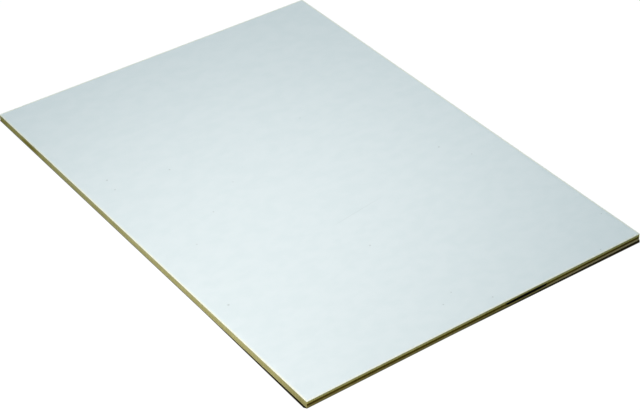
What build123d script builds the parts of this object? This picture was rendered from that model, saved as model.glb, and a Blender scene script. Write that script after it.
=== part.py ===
from build123d import *
import os

# A small poplar plywood sheet with a white film on its upper face, lying flat.
# X runs along the length, Y across the width and Z up, in millimetres.
# The origin is on the underside, below the middle of the sheet.

# The sheet as it was trimmed
sheet_length = 297.0
sheet_width = 210.0
corner_radius = 0.5

# Layers, from the upper face down
coat_thickness = 0.3
face_veneer_thickness = 1.2
core_veneer_thickness = 1.3
back_veneer_thickness = 1.2

# Breaks that sanding leaves along the two outer arrises
coat_arris_radius = 0.12
back_arris_chamfer = 0.2

# Knot hole in the core, opened by the saw at the +X end.
# The core's grain runs along X. The hole is longest that way, and leans and flares
# through the veneer as the branch did, which grew up along the trunk and outwards.
knot_hole_length = 34.0
knot_hole_width = 26.5
knot_hole_inset = 4.0          # from the trimmed end to the middle of the hole
knot_hole_offset = 28.5        # from the sheet's long centreline to the middle of the hole
knot_hole_flare = 0.3          # how much wider the hole is on its bark side, all round
knot_hole_lean = 0.9           # how far its bark side has moved along the grain

# Levels of the faces where the layers meet
back_level = 0
core_level = back_level + back_veneer_thickness
face_level = core_level + core_veneer_thickness
coat_level = face_level + face_veneer_thickness


def trimmed_layer(level, thickness):
    """One layer of the pressed stack, trimmed to the sheet's outline with the rest."""
    outline = RectangleRounded(sheet_length, sheet_width, corner_radius)
    return extrude(Plane.XY.offset(level) * outline, thickness)


def white_coat():
    """The film on the upper face, with its outer arris eased."""
    film = trimmed_layer(coat_level, coat_thickness)
    upper_arris = film.edges().group_by(Axis.Z)[-1]
    return fillet(upper_arris, coat_arris_radius)


def knot_outline(level, growth, lean):
    """The oval that the knot leaves in the veneer at one level."""
    hole_middle = Location((sheet_length / 2 - knot_hole_inset + lean, knot_hole_offset, level))
    return hole_middle * Ellipse(knot_hole_length / 2 + growth, knot_hole_width / 2 + growth)


def knot_hole():
    """The space of the fallen knot, from the core's pith side up to its bark side."""
    pith_side = knot_outline(core_level, 0, 0)
    bark_side = knot_outline(face_level, knot_hole_flare, knot_hole_lean)
    return loft([pith_side, bark_side])


def core_veneer():
    """The cross-laid middle veneer, less its knot hole."""
    return trimmed_layer(core_level, core_veneer_thickness) - knot_hole()


def back_veneer():
    """The veneer on the underside, with its outer arris sanded off."""
    veneer = trimmed_layer(back_level, back_veneer_thickness)
    lower_arris = veneer.edges().group_by(Axis.Z)[0]
    return chamfer(lower_arris, back_arris_chamfer)


sheet_layers = {
    "white_coat": white_coat(),
    "face_veneer": trimmed_layer(face_level, face_veneer_thickness),
    "core_veneer": core_veneer(),
    "back_veneer": back_veneer(),
}

os.makedirs("parts", exist_ok=True)
for node_name, layer in sheet_layers.items():
    export_step(layer, f"parts/{node_name}.step")
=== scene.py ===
import math

import bmesh
import bpy
from mathutils import Matrix, Vector


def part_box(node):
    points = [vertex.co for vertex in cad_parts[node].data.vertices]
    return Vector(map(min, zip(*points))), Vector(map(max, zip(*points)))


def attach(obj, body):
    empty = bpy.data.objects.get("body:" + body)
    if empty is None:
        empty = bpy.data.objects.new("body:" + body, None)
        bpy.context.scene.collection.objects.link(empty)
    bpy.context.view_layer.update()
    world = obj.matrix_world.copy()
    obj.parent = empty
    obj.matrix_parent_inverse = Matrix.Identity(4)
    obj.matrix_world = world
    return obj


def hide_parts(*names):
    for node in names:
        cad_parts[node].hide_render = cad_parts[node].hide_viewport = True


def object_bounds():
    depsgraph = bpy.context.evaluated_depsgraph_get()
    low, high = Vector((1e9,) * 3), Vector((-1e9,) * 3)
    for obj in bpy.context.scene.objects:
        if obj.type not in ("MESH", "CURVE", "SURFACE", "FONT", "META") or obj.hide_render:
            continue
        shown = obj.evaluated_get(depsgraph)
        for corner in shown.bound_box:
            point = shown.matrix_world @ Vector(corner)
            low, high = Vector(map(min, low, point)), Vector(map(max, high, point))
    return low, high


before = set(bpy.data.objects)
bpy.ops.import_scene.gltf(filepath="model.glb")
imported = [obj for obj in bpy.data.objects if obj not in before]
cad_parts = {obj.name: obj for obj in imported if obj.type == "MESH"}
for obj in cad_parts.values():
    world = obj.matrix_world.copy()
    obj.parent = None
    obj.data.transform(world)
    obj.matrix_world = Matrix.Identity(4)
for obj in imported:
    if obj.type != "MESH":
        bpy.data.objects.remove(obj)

mm = 0.001               # one millimetre, in Blender's metres
sameSpot = 0.01 * mm     # places nearer than this count as one
cadLow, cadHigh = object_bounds()
coatLow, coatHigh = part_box("white_coat")
faceLow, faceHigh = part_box("face_veneer")
coreLow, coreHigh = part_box("core_veneer")
backLow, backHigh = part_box("back_veneer")
print("frame loaded:", ", ".join(sorted(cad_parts)))


# selecting and editing, as by hand

def deselectAll():
    bpy.ops.object.select_all(action="DESELECT")


def makeActive(piece):
    deselectAll()
    piece.select_set(True)
    bpy.context.view_layer.objects.active = piece


def editMode(piece, kind):
    makeActive(piece)
    bpy.ops.object.mode_set(mode="EDIT")
    bpy.ops.mesh.select_mode(type=kind)
    bpy.ops.mesh.select_all(action="DESELECT")


def objectMode():
    bpy.ops.object.mode_set(mode="OBJECT")


def pick(piece, kind, test):
    # selects only the faces or edges that pass a test
    bpy.ops.mesh.select_all(action="DESELECT")
    mesh = bmesh.from_edit_mesh(piece.data)
    for element in getattr(mesh, kind):
        if test(element):
            element.select_set(True)
    bmesh.update_edit_mesh(piece.data)


def ends(edge):
    return edge.verts[0].co, edge.verts[1].co


def run(edge):
    start, end = ends(edge)
    return end - start


def upright(edge):
    return run(edge).xy.length < sameSpot


def atLevel(edge, level):
    return all(abs(end.z - level) < sameSpot for end in ends(edge))


def liesFlat(face):
    # the normal's height is 1 on a level face and 0 on an upright one
    return abs(face.normal.z) > 0.5


def startPiece(name, low, high):
    # names the new primitive, and gives it its size and place in its mesh
    piece = bpy.context.object
    piece.name = name
    piece.data.name = name
    piece.location = (low + high) / 2
    piece.scale = [size if size > 0 else 1 for size in high - low]
    bpy.ops.object.transform_apply(location=True, rotation=True, scale=True)
    return piece


def turnOutwards(piece):
    editMode(piece, "FACE")
    bpy.ops.mesh.select_all(action="SELECT")
    bpy.ops.mesh.normals_make_consistent(inside=False)
    objectMode()


def applyModifier(piece, modifier):
    makeActive(piece)
    bpy.ops.object.modifier_apply(modifier=modifier.name)


# how far a point lies in from the short ends, from the long sides and from the nearest of them all

def inFromEnds(point):
    return min(point.x - cadLow.x, cadHigh.x - point.x)


def inFromSides(point):
    return min(point.y - cadLow.y, cadHigh.y - point.y)


def inFromOutline(point):
    return min(inFromEnds(point), inFromSides(point))


# the four upright corners of a layer, rounded by handling

corner = {
    "radius": 0.5 * mm,
    "segments": 4,
}


def roundCorners(piece):
    def atCorner(point):
        return max(inFromEnds(point), inFromSides(point)) < sameSpot
    pick(piece, "edges", lambda edge: upright(edge) and atCorner(ends(edge)[0]))
    bpy.ops.mesh.bevel(offset=corner["radius"], offset_type="OFFSET", segments=corner["segments"],
                       affect="EDGES")


# relief, which a Displace modifier presses into one group of points

def pointGroup(piece, name, weightAt):
    group = piece.vertex_groups.new(name=name)
    for point in piece.data.vertices:
        weight = min(weightAt(point.co), 1)
        if weight > 0:
            group.add([point.index], weight, "REPLACE")


def relief(piece, group, marks):
    # marks give a height, the direction that it is measured in, and a pitch along X, Y and Z;
    # a middle of 0.5 moves points to and fro, and a middle of 0 only forwards
    press = piece.modifiers.new("relief", "DISPLACE")
    press.direction = marks["towards"]
    press.mid_level = marks.get("middle", 0.5)
    press.strength = marks["height"]
    press.vertex_group = group
    pitch = Vector(marks["pitch"])
    press.texture = bpy.data.textures.new(piece.name + "Relief", "CLOUDS")
    press.texture.noise_scale = min(pitch)
    press.texture.noise_depth = marks.get("depth", 1)
    gauge = bpy.data.objects.new("gauge", None)      # its scale draws the marks out
    gauge.scale = pitch / min(pitch)
    bpy.context.scene.collection.objects.link(gauge)
    bpy.context.view_layer.update()
    press.texture_coords = "OBJECT"
    press.texture_coords_object = gauge
    applyModifier(piece, press)
    bpy.data.objects.remove(gauge)


# what a circular saw and the cut wood leave on the edges

sawnEdge = {
    "cutsAlong": {"x": (9, 9, 6), "y": (9, 9, 4)},      # the edge bands end up in 0.42 mm columns
    "rows": 5,
    "onSide": 0.02 * mm,                                # points this near the outline are on an edge
    "sawMarks": {"pitch": (0.9 * mm, 0.9 * mm, 40 * mm), "height": 0.03 * mm},
    "endGrain": {"pitch": (0.5 * mm, 0.5 * mm, 0.3 * mm), "height": 0.07 * mm},
    "longGrainX": {"pitch": (7 * mm, 0.3 * mm, 0.3 * mm), "height": 0.05 * mm},
    "longGrainY": {"pitch": (0.3 * mm, 7 * mm, 0.3 * mm), "height": 0.05 * mm},
}


def sawEdges(piece, grain):
    # grain is "X" or "Y", the way that the layer's fibres run
    pointGroup(piece, "longSides", lambda point: inFromSides(point) < sawnEdge["onSide"])
    pointGroup(piece, "shortEnds", lambda point: inFromEnds(point) < sawnEdge["onSide"])
    sideMarks = sawnEdge["longGrainX"] if grain == "X" else sawnEdge["endGrain"]
    endMarks = sawnEdge["longGrainY"] if grain == "Y" else sawnEdge["endGrain"]
    for group, towards, ownMarks in (("longSides", "Y", sideMarks), ("shortEnds", "X", endMarks)):
        relief(piece, group, {**sawnEdge["sawMarks"], "towards": towards})
        relief(piece, group, {**ownMarks, "towards": towards})


# a layer whose flat face shows: a fine grid with its border turned over and closed

def outerLayer(name, low, high, facesUp, size):
    shown = high.z if facesUp else low.z
    covered = low.z if facesUp else high.z
    deselectAll()
    bpy.ops.mesh.primitive_grid_add(x_subdivisions=round((high.x - low.x) / size["columnX"]),
                                    y_subdivisions=round((high.y - low.y) / size["columnY"]), size=1)
    piece = startPiece(name, Vector((low.x, low.y, shown)), Vector((high.x, high.y, shown)))
    editMode(piece, "EDGE")
    bpy.ops.mesh.select_non_manifold()
    bpy.ops.mesh.extrude_region_move(TRANSFORM_OT_translate={"value": (0, 0, covered - shown)})
    bpy.ops.mesh.edge_face_add()
    pick(piece, "edges", upright)
    bpy.ops.mesh.subdivide(number_cuts=size["rows"] - 1)
    roundCorners(piece)

    def shownArris(edge):
        flat = [liesFlat(face) for face in edge.link_faces]
        return atLevel(edge, shown) and flat.count(True) == 1
    pick(piece, "edges", shownArris)
    bpy.ops.mesh.bevel(offset=size["arrisBreak"], offset_type="OFFSET",
                       segments=size["arrisSegments"], affect="EDGES")
    objectMode()

    def openFace(point):
        # none at the border, so that the face's relief dies out before the arris
        if abs(point.z - shown) > sameSpot:
            return 0
        return (inFromOutline(point) - size["reliefFade"] / 2) / size["reliefFade"]
    pointGroup(piece, "openFace", openFace)
    return piece


# a layer that shows only at its edges: its band is fine and its two flat faces are plain

def innerLayer(name, low, high):
    shortRun = corner["radius"] / 2       # the edges round a corner are shorter than this
    deselectAll()
    bpy.ops.mesh.primitive_cube_add(size=1)
    piece = startPiece(name, low, high)
    editMode(piece, "EDGE")
    roundCorners(piece)
    pick(piece, "faces", liesFlat)
    bpy.ops.mesh.delete(type="ONLY_FACE")
    for axis, passes in sawnEdge["cutsAlong"].items():
        for cuts in passes:
            pick(piece, "edges", lambda edge: abs(getattr(run(edge), axis)) > shortRun)
            bpy.ops.mesh.subdivide(number_cuts=cuts)
    pick(piece, "edges", upright)
    bpy.ops.mesh.subdivide(number_cuts=sawnEdge["rows"] - 1)
    for level in (low.z, high.z):
        pick(piece, "edges", lambda edge: atLevel(edge, level))
        bpy.ops.mesh.edge_face_add()
    objectMode()
    turnOutwards(piece)
    return piece


# materials: nodes, colours and masks, with places and pitches in millimetres

endless = 1e6            # the reach of a mark that runs right across the sheet
softBorder = 0.5         # how soft a mark's border is, as a share of its reach
# the sheet's short ends and long sides, near and far as the camera sees them
nearEnd = cadHigh.x / mm
farEnd = cadLow.x / mm
nearSide = cadLow.y / mm
farSide = cadHigh.y / mm


def linear(code):
    # an sRGB hex colour in linear light
    channels = [int(code[place:place + 2], 16) / 255 for place in (1, 3, 5)]
    return [c / 12.92 if c <= 0.04045 else ((c + 0.055) / 1.055) ** 2.4 for c in channels] + [1]


def addNode(tree, kind, settings={}, links={}):
    node = tree.nodes.new("ShaderNode" + kind)
    for name, value in settings.items():
        if name == "stops":
            for stop, (place, code) in zip(node.color_ramp.elements, value):
                stop.position = place
                stop.color = linear(code)
        elif isinstance(name, str) and hasattr(node, name):
            setattr(node, name, value)
        else:
            node.inputs[name].default_value = value
    for name, source in links.items():
        tree.links.new(source, node.inputs[name])
    return node


def newMaterial(name, gloss):
    # also gives the place on the piece in millimetres, which every pattern is drawn by
    material = bpy.data.materials.new(name)
    material.use_nodes = True
    tree = material.node_tree
    shader = tree.nodes["Principled BSDF"]
    for socket, value in gloss.items():
        shader.inputs[socket].default_value = value
    metres = addNode(tree, "TexCoord").outputs["Object"]
    place = addNode(tree, "VectorMath", {"operation": "SCALE", "Scale": 1 / mm}, {0: metres}).outputs[0]
    return material, tree, shader, place


def noise(tree, place, pattern):
    # the pattern's pitch is the size of a mark along X, Y and Z
    stretched = addNode(tree, "VectorMath", {"operation": "DIVIDE", 1: pattern["pitch"]},
                        {0: place}).outputs[0]
    return addNode(tree, "TexNoise", {"Scale": 1, "Detail": pattern["detail"]},
                   {"Vector": stretched}).outputs[0]


def blot(tree, place, mark):
    # 1 inside an oval and 0 outside it; reach is half its length along each axis
    turn = math.radians(mark.get("turn", 0))
    soft = mark.get("soft", softBorder)
    own = addNode(tree, "Mapping", {"vector_type": "TEXTURE", "Location": mark["middle"],
                                    "Scale": mark["reach"], "Rotation": (0, 0, turn)},
                  {"Vector": place}).outputs[0]
    out = addNode(tree, "VectorMath", {"operation": "LENGTH"}, {0: own}).outputs["Value"]
    return addNode(tree, "MapRange", {"interpolation_type": "SMOOTHSTEP",
                                      1: 1 - soft, 2: 1 + soft, 3: 1, 4: 0}, {0: out}).outputs[0]


def pastOutline(tree, place):
    # how far a place lies past the sheet's ends and long sides: negative on the sheet
    half = (cadHigh - cadLow) / 2 / mm
    folded = addNode(tree, "VectorMath", {"operation": "ABSOLUTE"}, {0: place}).outputs[0]
    return addNode(tree, "VectorMath", {"operation": "SUBTRACT", 1: half}, {0: folded}).outputs[0]


def weigh(tree, shares):
    # adds up patterns, each times its share
    total = None
    for pattern, share in shares:
        node = addNode(tree, "Math", {"operation": "MULTIPLY_ADD", 1: share, 2: 0}, {0: pattern})
        if total:
            tree.links.new(total, node.inputs[2])
        total = node.outputs[0]
    return total


def tint(tree, colour, mask, code, share=1):
    # lays a colour over another where a mask is 1; sockets 6 and 7 are the Mix node's two colours
    part = addNode(tree, "Math", {"operation": "MULTIPLY", 1: share}, {0: mask}).outputs[0]
    return addNode(tree, "Mix", {"data_type": "RGBA", 7: linear(code)}, {0: part, 6: colour}).outputs[2]


def stain(tree, colour, place, mark):
    return tint(tree, colour, blot(tree, place, mark), mark["colour"], mark["share"])


def bump(tree, shader, height, depth):
    bumped = addNode(tree, "Bump", {"Strength": 1, "Distance": depth}, {"Height": height}).outputs[0]
    tree.links.new(bumped, shader.inputs["Normal"])


# which faces a material covers, by the place of a face's centre

edgeBand = 0.4 * mm                     # how far in from the outline the faces of the edge lie
smoothBelow = math.radians(40)          # sharper edges than this stay sharp


def everywhere(centre):
    return True


def onLongSide(centre):
    return inFromSides(centre) < edgeBand and inFromSides(centre) <= inFromEnds(centre)


def onShortEnd(centre):
    return inFromEnds(centre) < edgeBand and inFromEnds(centre) < inFromSides(centre)


def finish(piece, coverings):
    # coverings: each material with its test; a later one goes over those before it
    turnOutwards(piece)
    makeActive(piece)
    bpy.ops.object.shade_smooth_by_angle(angle=smoothBelow)
    for number, (material, covers) in enumerate(coverings):
        piece.data.materials.append(material)
        for face in piece.data.polygons:
            if covers(face.center):
                face.material_index = number


def placeInFrame(piece, node):
    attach(piece, "root")
    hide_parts(node)
    print(piece.name, "made,", len(piece.data.polygons), "faces")


# white coat: a resin film, pressed on, through which the veneer's grain just shows

coat = {
    "columnX": 0.8 * mm,
    "columnY": 2.4 * mm,
    "rows": 2,
    "arrisBreak": 0.12 * mm,
    "arrisSegments": 3,
    "reliefFade": 4 * mm,         # the upper face's relief rises from nothing over this length
    "grainShowing": {"pitch": (2.2 * mm, 34 * mm, 2.2 * mm), "height": 0.004 * mm, "towards": "Z"},
    "slowWaves": {"pitch": (28 * mm, 60 * mm, 28 * mm), "height": 0.03 * mm, "towards": "Z"},
    "gloss": {"Roughness": 0.5, "IOR": 1.5, "Specular IOR Level": 0.3},
    "mottle": {"pitch": (6, 9, 6), "detail": 3},
    "mottleColours": [(0.35, "#E9F1F3"), (0.62, "#ECF3F5")],
    "skin": {"pitch": (1.1, 1.1, 1.1), "detail": 1},
    "skinDepth": 0.002 * mm,
    # grit under the film: its place on the sheet and how wide it is, in mm
    "specks": [(-57, -89, 1.1), (-47, -90, 0.8), (-45, -57, 0.9), (1, -59, 0.8),
               (19, -81, 0.7), (69, -95, 1.2), (73, -11, 0.9), (26, 72, 1.0),
               (127, -2, 0.7), (-43, 28, 0.7), (-15, -36, 0.6), (42, 82, 0.7),
               (142, 12, 0.8), (132, -11, 0.8), (124, 101, 0.7), (146, 80, 0.8)],
    "speckHeight": 2,
    "speckColour": "#8A8F8C",
    "speckShare": 0.3,
    "scratch": {"middle": (46, 2, coatHigh.z / mm), "reach": (0.22, 17, 1), "turn": 8,
                "colour": "#8A8F8C", "share": 0.1},
    # a painted highlight: an ivory border along the film's arris, in mm
    "arrisHighlightColour": "#FAFAEC",
    "arrisHighlightWidth": 0.8,
    "arrisHighlightSoft": 0.3,
    # the film in section
    "cutGloss": {"Roughness": 0.6, "IOR": 1.5, "Specular IOR Level": 0.5},
    "chips": {"pitch": (0.5, 0.5, 0.15), "detail": 2},
    "chipColours": [(0.35, "#AFA982"), (0.6, "#C9C4A0")],
    "chipDepth": 0.02 * mm,
}


def pressedFilm():
    # melamine-resin paper, pressed hot onto the veneer against a satin plate: an even, faintly
    # bluish white with a broad soft sheen, and a skin that is not quite flat when seen close by
    material, tree, shader, place = newMaterial("pressedMelamineFilm", coat["gloss"])
    mottle = noise(tree, place, coat["mottle"])
    colour = addNode(tree, "ValToRGB", {"stops": coat["mottleColours"]}, {0: mottle}).outputs[0]
    for x, y, width in coat["specks"]:
        speck = {"middle": (x, y, coatHigh.z / mm),
                 "reach": (width / 2, width / 2, coat["speckHeight"] / 2),
                 "colour": coat["speckColour"], "share": coat["speckShare"]}
        colour = stain(tree, colour, place, speck)
    colour = stain(tree, colour, place, coat["scratch"])
    # a painted highlight: the film turns ivory and lighter along its border, where the arris catches the
    # light
    past = addNode(tree, "SeparateXYZ", {}, {0: pastOutline(tree, place)}).outputs
    border = addNode(tree, "Math", {"operation": "MAXIMUM"}, {0: past["X"], 1: past["Y"]}).outputs[0]
    highlightFrom = -coat["arrisHighlightWidth"]
    arrisHighlight = addNode(tree, "MapRange", {1: highlightFrom - coat["arrisHighlightSoft"],
                                        2: highlightFrom + coat["arrisHighlightSoft"]}, {0: border}).outputs[0]
    colour = tint(tree, colour, arrisHighlight, coat["arrisHighlightColour"])
    tree.links.new(colour, shader.inputs["Base Color"])
    bump(tree, shader, noise(tree, place, coat["skin"]), coat["skinDepth"])
    return material


def filmCutEdge():
    # the same film in section: ivory paper soaked in resin, chipped a little by the saw
    material, tree, shader, place = newMaterial("sawnFilmEdge", coat["cutGloss"])
    chips = noise(tree, place, coat["chips"])
    colour = addNode(tree, "ValToRGB", {"stops": coat["chipColours"]}, {0: chips}).outputs[0]
    tree.links.new(colour, shader.inputs["Base Color"])
    bump(tree, shader, chips, coat["chipDepth"])
    return material


def belowCoatArris(centre):
    return centre.z < coatHigh.z - coat["arrisBreak"] and (onLongSide(centre) or onShortEnd(centre))


whiteCoat = outerLayer("whiteCoat", coatLow, coatHigh, True, coat)
relief(whiteCoat, "openFace", coat["grainShowing"])
relief(whiteCoat, "openFace", coat["slowWaves"])
finish(whiteCoat, [(pressedFilm(), everywhere), (filmCutEdge(), belowCoatArris)])
placeInFrame(whiteCoat, "white_coat")


# poplar as the saw leaves it on the edges

poplar = {
    "gloss": {"Roughness": 0.8, "IOR": 1.45, "Specular IOR Level": 0.1},
    # real fibres and pores are under 0.1 mm wide, too fine to show, so they are drawn in bundles
    "fibresAlongX": {"pitch": (9, 0.25, 0.2), "detail": 3},
    "fibresAlongY": {"pitch": (0.25, 9, 0.2), "detail": 3},
    "fibreEnds": {"pitch": (0.3, 0.3, 0.2), "detail": 3},
    "sawMarks": {"pitch": (0.8, 0.8, 30), "detail": 1},
    "patches": {"pitch": (22, 22, 3), "detail": 2},
    "fibreShare": 0.5,
    "sawShare": 0.3,
    "patchShare": 0.5,
    "spread": 0.16,               # how far the light and dark colours lie from the patterns' average
    "fibreDepth": 0.03 * mm,
    "sawDepthShare": 0.5,
    # the cracks that the peeling knife opened: their gap in mm, how they wander, and the height of the
    # wave above which they show; a look's checkSlant gives their tilt about X, Y and Z, in radians
    "checks": {"gap": 1.7, "wander": 5, "detail": 1, "wanderScale": 0.4, "crest": 0.965, "share": 0.35},
    "glue": "#4A401C",
    "glueShare": 0.45,
    "glueLine": 0.07,
    # marks on the near long side that every layer shows, in mm: a stain 34.5 mm from the far end, a dark
    # spot at the far corner, and the side yellower towards the far end and darker towards the near end
    "longSideMarks": [
        {"colour": "#55511F", "middle": (farEnd + 34.5, nearSide, 1.6), "reach": (9, 3, 1.3), "share": 0.7},
        {"colour": "#55511F", "middle": (farEnd + 1.5, nearSide, 1.8), "reach": (6, 3, 2.2), "share": 0.35},
        {"colour": "#998900", "middle": (farEnd + 0.5, nearSide, 2), "reach": (58, 3, 8), "share": 0.35},
        {"colour": "#55511F", "middle": (nearEnd + 3.5, nearSide, 2), "reach": (62, 3, 8), "share": 0.2},
        {"colour": "#55511F", "middle": (nearEnd + 3.5, nearSide, 2), "reach": (20, 3, 8), "share": 0.25},
    ],
}

# the hole that a fallen knot left in the core, opened by the saw at the near end

knotHole = {
    "length": 34.0 * mm,
    "width": 26.5 * mm,
    "inset": 4.0 * mm,            # its middle lies this far in from the sheet's end
    "offset": 28.5 * mm,          # and this far from the sheet's middle, towards the far side
    "flare": 0.3 * mm,
    "lean": 0.9 * mm,
    "steps": 150,
    "rows": 6,
    "overrun": 0.5 * mm,
    "margin": 2 * mm,             # its torn wall stays within this of the oval
    "wallStart": 0.1 * mm,        # how far in from the sawn end its wall begins
    "torn": {"pitch": (2.5 * mm, 0.8 * mm, 0.8 * mm), "height": 0.5 * mm, "depth": 2, "towards": "NORMAL"},
    "barkGloss": {"Roughness": 0.95, "IOR": 1.45, "Specular IOR Level": 0},
    "flakes": {"pitch": (1.2, 1.2, 0.5), "detail": 4},
    "barkColours": [(0.35, "#060402"), (0.65, "#120E08")],
    "barkDepth": 0.3 * mm,
    # the hole's floor and the lips of its opening are painted near black: shade inside the hole, with bark
    # dust
    "shadeAndDustColour": "#0C0906",
    # painted shade and bark dust along the opening, in mm and with its border as a share of its reach
    "shadeAndDustDepth": 3,
    "shadeAndDustHeight": 0.4,
    "shadeAndDustSoft": 0.2,
    "shadeAndDustShare": 0.75,
    # and painted shade with bark dust on the veneer faces above and below the hole
    "faceShadeAndDustSoft": 0.06,
    "faceShadeAndDustShare": 1,
}
knotMiddle = Vector((coreHigh.x - knotHole["inset"], knotHole["offset"], (coreLow.z + coreHigh.z) / 2))
knotReach = Vector((knotHole["length"], knotHole["width"])) / 2
tornHoleReach = knotReach + Vector((knotHole["margin"], knotHole["margin"]))

# the faces that the glue was spread on, which show only through the knot hole

gluedFace = {
    "gloss": {"Roughness": 0.9, "IOR": 1.45, "Specular IOR Level": 0},
    "streaks": {"pitch": (3, 25, 3), "detail": 3},
    "colours": [(0.35, "#8E8150"), (0.65, "#A89A66")],
    "depth": 0.05 * mm,
}


def sawnPoplar(name, look):
    # poplar, cut by a fine saw: the broken fibres scatter nearly all the light, so it is matt, streaked
    # where they run along the edge and finely dotted where they end in it, with faint upright saw marks
    material, tree, shader, place = newMaterial(name, poplar["gloss"])
    fibres = noise(tree, place, look["fibres"])
    sawMarks = noise(tree, place, poplar["sawMarks"])
    patches = noise(tree, place, poplar["patches"])
    mixed = weigh(tree, [(fibres, poplar["fibreShare"]), (sawMarks, poplar["sawShare"]),
                         (patches, poplar["patchShare"])])
    average = (poplar["fibreShare"] + poplar["sawShare"] + poplar["patchShare"]) / 2
    colour = addNode(tree, "ValToRGB", {"stops": [(average - poplar["spread"], look["dark"]),
                                                  (average + poplar["spread"], look["light"])]},
                     {0: mixed}).outputs[0]
    if "checkSlant" in look:
        # fine cracks, slanting into the veneer from the side that the knife left; a wave's bands stand
        # pi / 10 apart at a scale of 1, and only the crest of each is a crack
        checks = poplar["checks"]
        slanted = addNode(tree, "Mapping", {"Rotation": look["checkSlant"]}, {"Vector": place}).outputs[0]
        waves = addNode(tree, "TexWave", {"bands_direction": look["checksAlong"],
                                          "Scale": math.pi / 10 / checks["gap"],
                                          "Distortion": checks["wander"], "Detail": checks["detail"],
                                          "Detail Scale": checks["wanderScale"]},
                        {"Vector": slanted}).outputs["Fac"]
        cracks = addNode(tree, "MapRange", {1: checks["crest"]}, {0: waves}).outputs[0]
        colour = tint(tree, colour, cracks, poplar["glue"], checks["share"])
    for level in look["glueAt"]:
        # the brown line of glue where this veneer meets the next
        line = {"middle": (0, 0, level / mm), "reach": (endless, endless, poplar["glueLine"]),
                "colour": poplar["glue"], "share": poplar["glueShare"]}
        colour = stain(tree, colour, place, line)
    # stains and marks, and on the back veneer's sawn end a painted lighter band
    for mark in look.get("marksAndPaintedLight", []):
        colour = stain(tree, colour, place, mark)
    if "besideKnotHole" in look:
        # painted shade with bark dust: the wood is darkened along the opening of the knot hole
        shadeAndDust = {"middle": (nearEnd, knotMiddle.y / mm, look["besideKnotHole"] / mm),
                "reach": (knotHole["shadeAndDustDepth"], knotReach.y / mm, knotHole["shadeAndDustHeight"]),
                "soft": knotHole["shadeAndDustSoft"], "colour": knotHole["shadeAndDustColour"],
                "share": knotHole["shadeAndDustShare"]}
        colour = stain(tree, colour, place, shadeAndDust)
    tree.links.new(colour, shader.inputs["Base Color"])
    pressed = weigh(tree, [(fibres, 1), (sawMarks, poplar["sawDepthShare"])])
    bump(tree, shader, pressed, poplar["fibreDepth"])
    return material


def knotBark():
    # bark and torn fibres that the fallen knot left on the wall of its hole: dark and rough
    material, tree, shader, place = newMaterial("knotBark", knotHole["barkGloss"])
    flakes = noise(tree, place, knotHole["flakes"])
    colour = addNode(tree, "ValToRGB", {"stops": knotHole["barkColours"]}, {0: flakes}).outputs[0]
    tree.links.new(colour, shader.inputs["Base Color"])
    bump(tree, shader, flakes, knotHole["barkDepth"])
    return material


def glueFace():
    # a veneer's face that the glue was spread on, painted near black where the knot fell out: shade inside
    # the hole, with bark dust
    material, tree, shader, place = newMaterial("gluedVeneerFace", gluedFace["gloss"])
    streaks = noise(tree, place, gluedFace["streaks"])
    colour = addNode(tree, "ValToRGB", {"stops": gluedFace["colours"]}, {0: streaks}).outputs[0]
    shadeAndDust = {"middle": knotMiddle / mm, "reach": (tornHoleReach.x / mm, tornHoleReach.y / mm, endless),
            "soft": knotHole["faceShadeAndDustSoft"], "colour": knotHole["shadeAndDustColour"],
            "share": knotHole["faceShadeAndDustShare"]}
    colour = stain(tree, colour, place, shadeAndDust)
    tree.links.new(colour, shader.inputs["Base Color"])
    bump(tree, shader, streaks, gluedFace["depth"])
    return material


glued = glueFace()

# face veneer: its grain runs across the sheet

faceLook = {
    "longGrain": {"fibres": poplar["fibresAlongY"], "light": "#CABE74", "dark": "#AB9E55",
                  "glueAt": [faceLow.z], "besideKnotHole": faceLow.z},
    "endGrain": {"fibres": poplar["fibreEnds"], "light": "#CEC890", "dark": "#B2AB75",
                 "glueAt": [faceLow.z], "checkSlant": (0, 0.6, 0), "checksAlong": "X",
                 "marksAndPaintedLight": poplar["longSideMarks"]},
}
faceVeneer = innerLayer("faceVeneer", faceLow, faceHigh)
sawEdges(faceVeneer, "Y")
finish(faceVeneer, [
    (glued, everywhere),
    (sawnPoplar("faceVeneerEndGrain", faceLook["endGrain"]), onLongSide),
    (sawnPoplar("faceVeneerLongGrain", faceLook["longGrain"]), onShortEnd),
])
placeInFrame(faceVeneer, "face_veneer")

# core veneer: its grain runs along the sheet, and the saw opened a knot hole in it


def knotPlug():
    # an oval plug that leans and flares as the branch did, with torn sides
    rise = coreHigh.z - coreLow.z
    past = knotHole["overrun"] / rise
    half = Vector((knotReach.x, knotReach.y, rise / 2 + knotHole["overrun"]))
    deselectAll()
    bpy.ops.mesh.primitive_cylinder_add(vertices=knotHole["steps"], radius=0.5, depth=1)
    plug = startPiece("knotPlug", knotMiddle - half, knotMiddle + half)
    editMode(plug, "EDGE")
    for level, share in ((knotMiddle.z - half.z, -past), (knotMiddle.z + half.z, 1 + past)):
        pick(plug, "edges", lambda edge: atLevel(edge, level))
        grown = [1 + knotHole["flare"] * share / half.x, 1 + knotHole["flare"] * share / half.y, 1]
        bpy.ops.transform.resize(value=grown, center_override=(knotMiddle.x, knotMiddle.y, level))
        bpy.ops.transform.translate(value=(knotHole["lean"] * share, 0, 0))
    pick(plug, "edges", lambda edge: abs(run(edge).z) > rise)
    bpy.ops.mesh.subdivide(number_cuts=knotHole["rows"])
    objectMode()
    pointGroup(plug, "wall", lambda point: 1)
    relief(plug, "wall", knotHole["torn"])
    return plug


def inKnotHole(centre):
    # on the wall of the hole, and so neither on the core's flat faces nor on its sawn end
    away = centre - knotMiddle
    inOval = Vector((away.x / tornHoleReach.x, away.y / tornHoleReach.y)).length < 1
    betweenFaces = min(centre.z - coreLow.z, coreHigh.z - centre.z) > sameSpot
    return inOval and betweenFaces and inFromEnds(centre) > knotHole["wallStart"]


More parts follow.
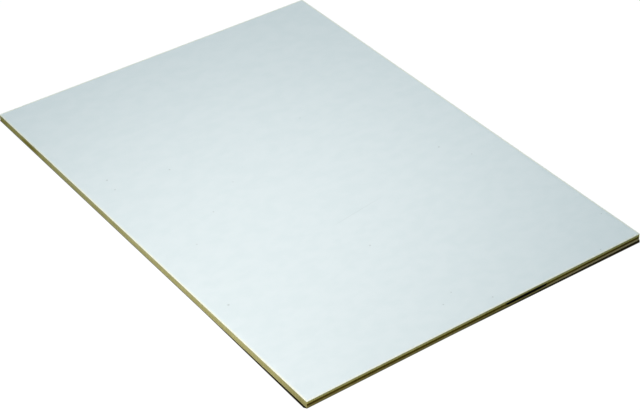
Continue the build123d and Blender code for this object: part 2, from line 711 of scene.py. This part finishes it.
coreLook = {
    "longGrain": {"fibres": poplar["fibresAlongX"], "light": "#C9C288", "dark": "#ACA468",
                  "glueAt": [coreLow.z, coreHigh.z], "marksAndPaintedLight": poplar["longSideMarks"]},
    "endGrain": {"fibres": poplar["fibreEnds"], "light": "#685404", "dark": "#4A3A00",
                 "glueAt": [coreLow.z, coreHigh.z], "checkSlant": (0.6, 0, 0), "checksAlong": "Y"},
}
coreVeneer = innerLayer("coreVeneer", coreLow, coreHigh)
plug = knotPlug()
opening = coreVeneer.modifiers.new("knotHole", "BOOLEAN")
opening.operation = "DIFFERENCE"
opening.solver = "EXACT"
opening.object = plug
applyModifier(coreVeneer, opening)
bpy.data.objects.remove(plug)
sawEdges(coreVeneer, "X")
finish(coreVeneer, [
    (glued, everywhere),
    (sawnPoplar("coreVeneerLongGrain", coreLook["longGrain"]), onLongSide),
    (sawnPoplar("coreVeneerEndGrain", coreLook["endGrain"]), onShortEnd),
    (knotBark(), inKnotHole),
])
placeInFrame(coreVeneer, "core_veneer")

# back veneer: its grain runs across the sheet, and its open face is bare as it was peeled and sanded

back = {
    "columnX": 0.9 * mm,
    "columnY": 1.2 * mm,
    "rows": 5,
    "arrisBreak": 0.1 * mm,
    "arrisSegments": 1,
    "reliefFade": 3 * mm,
    "faceBelow": 0.15 * mm,       # the open face is all that lies this low
    "faceWithin": 0.25 * mm,      # and this far in from the outline
    "openGrain": {"pitch": (1.8 * mm, 30 * mm, 1.8 * mm), "height": 0.05 * mm, "middle": 0.0,
                  "depth": 2, "towards": "Z"},
    "peelWaves": {"pitch": (9 * mm, 90 * mm, 9 * mm), "height": 0.06 * mm, "middle": 0.0, "towards": "Z"},
    "longGrain": {"fibres": poplar["fibresAlongY"], "light": "#A9975A", "dark": "#88783C",
                  "glueAt": [backHigh.z], "besideKnotHole": backHigh.z,
                  # painted light: the sawn end of the back veneer is lighter towards the far side, in place
                  # of light thrown up by the floor
                  "marksAndPaintedLight": [{"colour": "#DBC098", "middle": (nearEnd, farSide, 0.6), "reach": (3, 60, 4),
                              "share": 0.55}]},
    "endGrain": {"fibres": poplar["fibreEnds"], "light": "#CAC48C", "dark": "#AFA873",
                 "glueAt": [backHigh.z], "checkSlant": (0, -0.6, 0), "checksAlong": "X",
                 "marksAndPaintedLight": poplar["longSideMarks"]},
    "gloss": {"Roughness": 0.62, "IOR": 1.45, "Specular IOR Level": 0.5},
    "bands": {"pitch": (14, 160, 14), "detail": 2, "share": 0.9},
    "streaks": {"pitch": (1.2, 45, 1.2), "detail": 3, "share": 0.45, "depthShare": 0.6},
    "pores": {"pitch": (0.35, 4, 0.35), "detail": 2, "share": 0.25, "depthShare": 0.4},    # in bundles
    "peeledColours": [(0.62, "#C0B285"), (0.98, "#DBCFA6")],
    "peeledDepth": 0.04 * mm,
}


def peeledPoplar():
    # rotary-cut poplar, sanded: the growth rings are cut flat, so they lie as broad wavy bands
    material, tree, shader, place = newMaterial("peeledPoplar", back["gloss"])
    bands = noise(tree, place, back["bands"])
    streaks = noise(tree, place, back["streaks"])
    pores = noise(tree, place, back["pores"])
    mixed = weigh(tree, [(bands, back["bands"]["share"]), (streaks, back["streaks"]["share"]),
                         (pores, back["pores"]["share"])])
    colour = addNode(tree, "ValToRGB", {"stops": back["peeledColours"]}, {0: mixed}).outputs[0]
    tree.links.new(colour, shader.inputs["Base Color"])
    pressed = weigh(tree, [(streaks, back["streaks"]["depthShare"]), (pores, back["pores"]["depthShare"])])
    bump(tree, shader, pressed, back["peeledDepth"])
    return material


def onBackFace(centre):
    return centre.z < back["faceBelow"] and inFromOutline(centre) > back["faceWithin"]


backVeneer = outerLayer("backVeneer", backLow, backHigh, False, back)
relief(backVeneer, "openFace", back["openGrain"])
relief(backVeneer, "openFace", back["peelWaves"])
sawEdges(backVeneer, "Y")
finish(backVeneer, [
    (glued, everywhere),
    (sawnPoplar("backVeneerEndGrain", back["endGrain"]), onLongSide),
    (sawnPoplar("backVeneerLongGrain", back["longGrain"]), onShortEnd),
    (peeledPoplar(), onBackFace),
])
placeInFrame(backVeneer, "back_veneer")

# camera, at the photograph's angle

cameraView = {
    "lookAt": Vector((29.8 * mm, -11.1 * mm, cadHigh.z)),
    "azimuth": 54.56,             # in degrees, as are elevation and roll
    "elevation": 36.63,
    "distance": 968.4 * mm,
    "roll": -1.0,
    "lens": 103.9,                # in mm, as Blender takes both lens and sensor
    "sensor": 36.0,
    "clipStart": 10 * mm,
}


def fromAround(azimuth, elevation):
    # a unit vector from the sheet towards a place around it; azimuth 0 is in front, at -Y
    turn = math.radians(azimuth)
    rise = math.radians(elevation)
    return Vector((math.sin(turn) * math.cos(rise), -math.cos(turn) * math.cos(rise), math.sin(rise)))


towardsCamera = fromAround(cameraView["azimuth"], cameraView["elevation"])
cameraData = bpy.data.cameras.new("camera")
cameraData.lens = cameraView["lens"]
cameraData.sensor_width = cameraView["sensor"]
cameraData.clip_start = cameraView["clipStart"]
camera = bpy.data.objects.new("camera", cameraData)
bpy.context.scene.collection.objects.link(camera)
standpoint = Matrix.Translation(cameraView["lookAt"] + towardsCamera * cameraView["distance"])
levelView = (-towardsCamera).to_track_quat("-Z", "Y").to_matrix().to_4x4()
roll = Matrix.Rotation(math.radians(cameraView["roll"]), 4, "Z")
camera.matrix_world = standpoint @ levelView @ roll
bpy.context.scene.camera = camera
print("camera placed")

# studio: soft lamps, a white surround and a white paper floor

studio = {
    "ambient": "#B4D8E4",            # the light that comes from all round
    "ambientStrength": 0.41,
    "surroundShown": "#FFFFFF",      # what the camera sees all round
    "floorSize": 6,                  # in metres
    "floorDrop": 0.02 * mm,
    "floorTone": "#BDBDBB",          # what the floor throws back at the sheet
    "floorShown": 0.2,               # how strongly the camera sees the lamps' light and the shadow on it
    "floorGlow": 0.92,               # the rest of its white, which has no shadow
}
# the key lamp lights the two near edges, the overhead lamp lights the film, and the rear lamp keeps
# the two far edges from going dark; a lamp with no glare isn't mirrored in the film, because from
# behind the sheet its glare would clip the film to white
lamps = {
    "key": {"place": Vector((200, -360, 160)) * mm, "aim": Vector((40, -20, 0)) * mm, "size": 0.2,
            "power": 0.775, "colour": "#FFF6F0", "glare": False},
    "overhead": {"place": Vector((10, -22, 290)) * mm, "aim": Vector((30, -35, 0)) * mm, "size": 0.24,
                 "power": 0.52, "colour": "#FFF6F0", "glare": True},
    "rear": {"place": Vector((-360, 300, 90)) * mm, "aim": Vector((-60, 40, 0)) * mm, "size": 0.12,
             "power": 0.4, "colour": "#FFF6F0", "glare": False},
}
# a painted shadow: the dark line where the sheet meets the paper, in mm. It widens along the near long
# side towards the near end, and along the near end towards the far side, and each widening stops at its
# corner
contactShadow = {
    "tone": "#1C180A",
    "width": 0.2,
    "soft": 0.15,
    "setIn": 0.3,                    # past the edge, a widening sets in over this length
    "cornerFade": 1.2,               # and before the corner it stops over this one
    "widenings": [
        {"along": "X", "from": 60, "to": nearEnd, "by": 0.85,
         "across": "Y", "edge": nearSide, "outward": -1},
        {"along": "Y", "from": -20, "to": farSide, "by": 1.45,
         "across": "X", "edge": nearEnd, "outward": 1},
    ],
}


def seenRay(tree):
    # 1 for what the camera sees, straight or mirrored or through glass
    path = addNode(tree, "LightPath").outputs
    seen = addNode(tree, "Math", {"operation": "MAXIMUM"}, {0: path["Is Camera Ray"],
                                                            1: path["Is Glossy Ray"]}).outputs[0]
    return addNode(tree, "Math", {"operation": "MAXIMUM"}, {0: seen,
                                                            1: path["Is Transmission Ray"]}).outputs[0]


def hangLamp(name, lamp):
    lampData = bpy.data.lights.new(name, "AREA")
    lampData.energy = lamp["power"]
    lampData.size = lamp["size"]
    lampData.color = linear(lamp["colour"])[:3]
    light = bpy.data.objects.new(name, lampData)
    light.location = lamp["place"]
    light.rotation_euler = (lamp["aim"] - lamp["place"]).to_track_quat("-Z", "Y").to_euler()
    light.visible_camera = False
    light.visible_glossy = lamp["glare"]
    bpy.context.scene.collection.objects.link(light)


def studioSurround():
    # the sheet is lit softly from all round, and the camera sees plain white there
    world = bpy.data.worlds.new("studioSurround")
    world.use_nodes = True
    tree = world.node_tree
    ambient = tree.nodes["Background"]
    ambient.inputs["Color"].default_value = linear(studio["ambient"])
    ambient.inputs["Strength"].default_value = studio["ambientStrength"]
    white = addNode(tree, "Background", {"Color": linear(studio["surroundShown"]),
                                         "Strength": 1}).outputs[0]
    shown = addNode(tree, "MixShader", {}, {0: seenRay(tree), 1: ambient.outputs[0],
                                            2: white}).outputs[0]
    tree.links.new(shown, tree.nodes["World Output"].inputs["Surface"])
    return world


def paintedContactShadow(tree, place):
    # the painted shadow line's tone where it is and white past it, by how far a place lies from the sheet's
    # outline
    way = addNode(tree, "SeparateXYZ", {}, {0: place}).outputs
    width = None
    for widening in contactShadow["widenings"]:
        along = way[widening["along"]]
        across = way[widening["across"]]
        grown = addNode(tree, "MapRange", {1: widening["from"], 2: widening["to"], 4: widening["by"]},
                        {0: along}).outputs[0]
        stopped = addNode(tree, "MapRange", {1: widening["to"] - contactShadow["cornerFade"],
                                             2: widening["to"], 3: 1, 4: 0}, {0: along}).outputs[0]
        outside = addNode(tree, "MapRange", {1: widening["edge"],
                                             2: widening["edge"] + widening["outward"] * contactShadow["setIn"]},
                          {0: across}).outputs[0]
        kept = addNode(tree, "Math", {"operation": "MULTIPLY"}, {0: stopped, 1: outside}).outputs[0]
        wider = addNode(tree, "Math", {"operation": "MULTIPLY_ADD", 2: contactShadow["width"]},
                        {0: grown, 1: kept})
        if width:
            tree.links.new(width, wider.inputs[2])
        width = wider.outputs[0]
    apart = addNode(tree, "VectorMath", {"operation": "MAXIMUM", 1: (0, 0, 0)},
                    {0: pastOutline(tree, place)}).outputs[0]
    distance = addNode(tree, "VectorMath", {"operation": "LENGTH"}, {0: apart}).outputs["Value"]
    past = addNode(tree, "Math", {"operation": "SUBTRACT"}, {0: distance, 1: width}).outputs[0]
    openness = addNode(tree, "MapRange", {1: -contactShadow["soft"], 2: contactShadow["soft"]}, {0: past}).outputs[0]
    return addNode(tree, "ValToRGB", {"stops": [(0, contactShadow["tone"]), (1, "#FFFFFF")]},
                   {0: openness}).outputs[0]


def whitePaper():
    # matt white paper: the camera sees it near white, with the sheet's soft shadow and a painted shadow
    # line on it, and the sheet gets only as much light back from it as a pale floor throws
    material, tree, shader, place = newMaterial("whitePaperFloor", {})
    tree.nodes.remove(shader)
    bounced = addNode(tree, "BsdfDiffuse", {"Color": linear(studio["floorTone"])}).outputs[0]
    # the painted shadow line darkens both the lit paper and its glow
    tone = paintedContactShadow(tree, place)
    litTone = addNode(tree, "VectorMath", {"operation": "SCALE", "Scale": studio["floorShown"]},
                      {0: tone}).outputs[0]
    lit = addNode(tree, "BsdfDiffuse", {}, {"Color": litTone}).outputs[0]
    glow = addNode(tree, "Emission", {"Strength": studio["floorGlow"]}, {"Color": tone}).outputs[0]
    seen = addNode(tree, "AddShader", {}, {0: lit, 1: glow}).outputs[0]
    shown = addNode(tree, "MixShader", {}, {0: seenRay(tree), 1: bounced, 2: seen}).outputs[0]
    tree.links.new(shown, tree.nodes["Material Output"].inputs["Surface"])
    return material


for name, lamp in lamps.items():
    hangLamp(name, lamp)
bpy.context.scene.world = studioSurround()
deselectAll()
bpy.ops.mesh.primitive_plane_add(size=studio["floorSize"], location=(0, 0, cadLow.z - studio["floorDrop"]))
floor = bpy.context.object
floor.name = "floor"
floor.data.materials.append(whitePaper())
print("studio made")

bpy.context.scene.view_settings.view_transform = "Standard"
